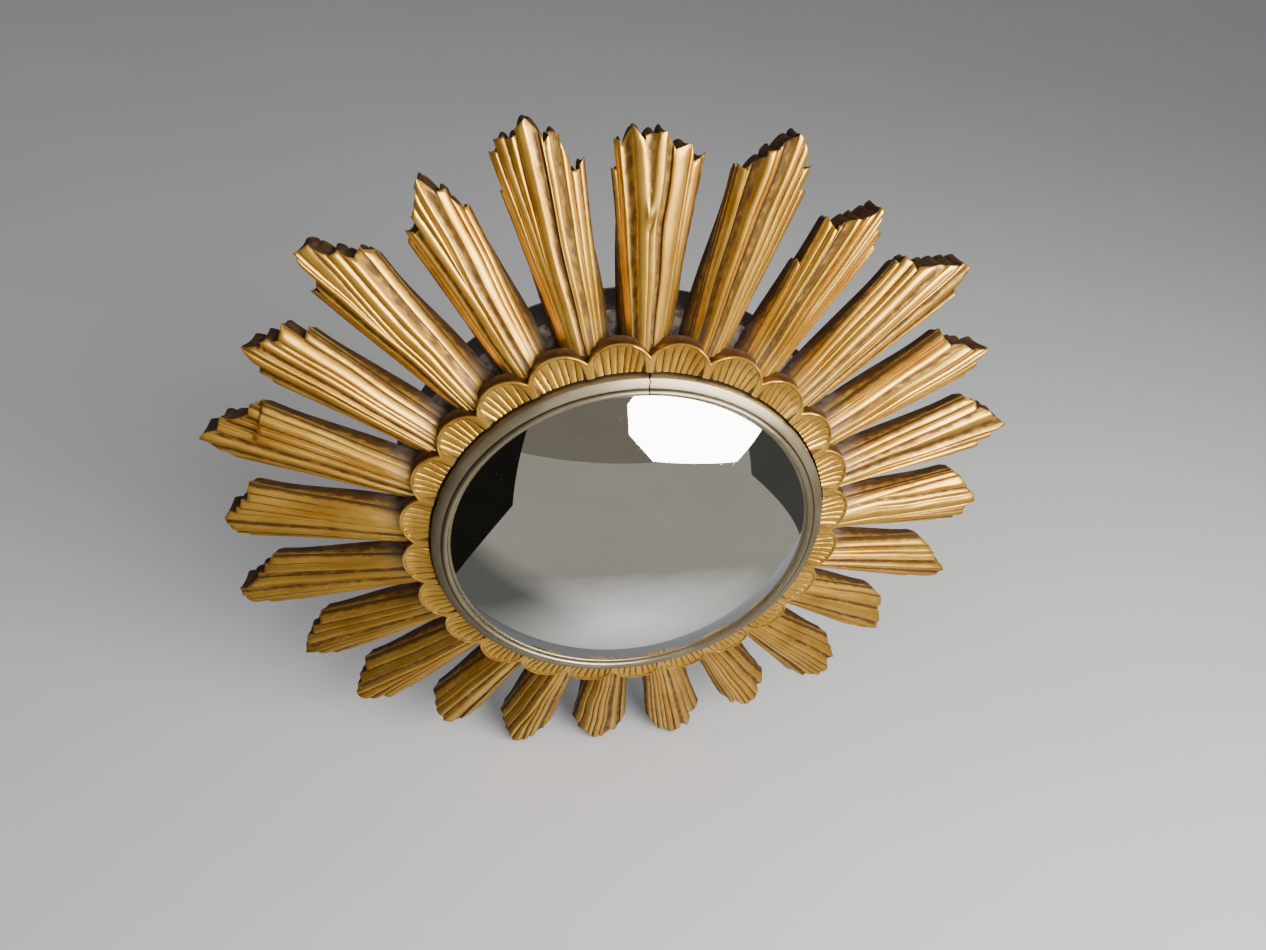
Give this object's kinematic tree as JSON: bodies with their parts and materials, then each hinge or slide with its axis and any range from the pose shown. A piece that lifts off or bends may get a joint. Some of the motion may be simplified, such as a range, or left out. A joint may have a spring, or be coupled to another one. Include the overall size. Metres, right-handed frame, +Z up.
{
  "type": "convex sunburst wall mirror",
  "caption": "Round wall mirror: domed silvered glass in a split bezel, a scalloped collar and carved gilt rays that lean back towards the wall.",
  "frame": {"origin": "centre of the back face, on the plane of the wall", "axes": "+Y into the wall, -Y out of the mirror's front, +Z up, +X to the right of someone facing the mirror"},
  "size_m": [0.5836, 0.113, 0.581],
  "materials": {
    "gilt_wood": "gilded, antique brown patina, satin",
    "champagne_metal": "champagne gold paint, satin",
    "mirror_silver": "silvered convex glass",
    "felt": "thin felt",
    "hub_wood": "bare sawn wood, dusty",
    "hardboard": "smooth brown hardboard",
    "zinc_steel": "zinc plated",
    "dowel_wood": "plain beech",
    "brassed_steel": "dull brass plating"
  },
  "bodies": {
    "frame": {"ray_01": "gilt_wood", "ray_02": "gilt_wood", "ray_03": "gilt_wood", "ray_04": "gilt_wood", "ray_05": "gilt_wood", "ray_06": "gilt_wood", "ray_07": "gilt_wood", "ray_08": "gilt_wood", "ray_09": "gilt_wood", "ray_10": "gilt_wood", "ray_11": "gilt_wood", "ray_12": "gilt_wood", "ray_13": "gilt_wood", "ray_14": "gilt_wood", "ray_15": "gilt_wood", "ray_16": "gilt_wood", "ray_17": "gilt_wood", "ray_18": "gilt_wood", "ray_19": "gilt_wood", "ray_20": "gilt_wood", "ray_21": "gilt_wood", "ray_22": "gilt_wood", "ray_23": "gilt_wood", "ray_24": "gilt_wood", "scalloped_collar": "gilt_wood", "bezel_ring": "champagne_metal", "mirror_glass": "mirror_silver", "glass_bedding": "felt", "hub_segment_1": "hub_wood", "hub_segment_2": "hub_wood", "hub_segment_3": "hub_wood", "hub_segment_4": "hub_wood", "hub_segment_5": "hub_wood", "hub_segment_6": "hub_wood", "hub_segment_7": "hub_wood", "hub_segment_8": "hub_wood", "backing_board": "hardboard", "backing_screws": "zinc_steel", "ray_screws": "zinc_steel", "ray_dowels": "dowel_wood", "hanger_plate": "brassed_steel", "hanger_screws": "brassed_steel"},
    "hanger_ring": {"hanger_ring": "brassed_steel"}
  },
  "joints": [
    {"name": "hanger_ring_swing", "type": "hinge", "parent": "frame", "child": "hanger_ring", "pos_m": [0, -0.0046, 0.152], "axis": [1, 0, 0], "range_deg": [0, 180]}
  ]
}
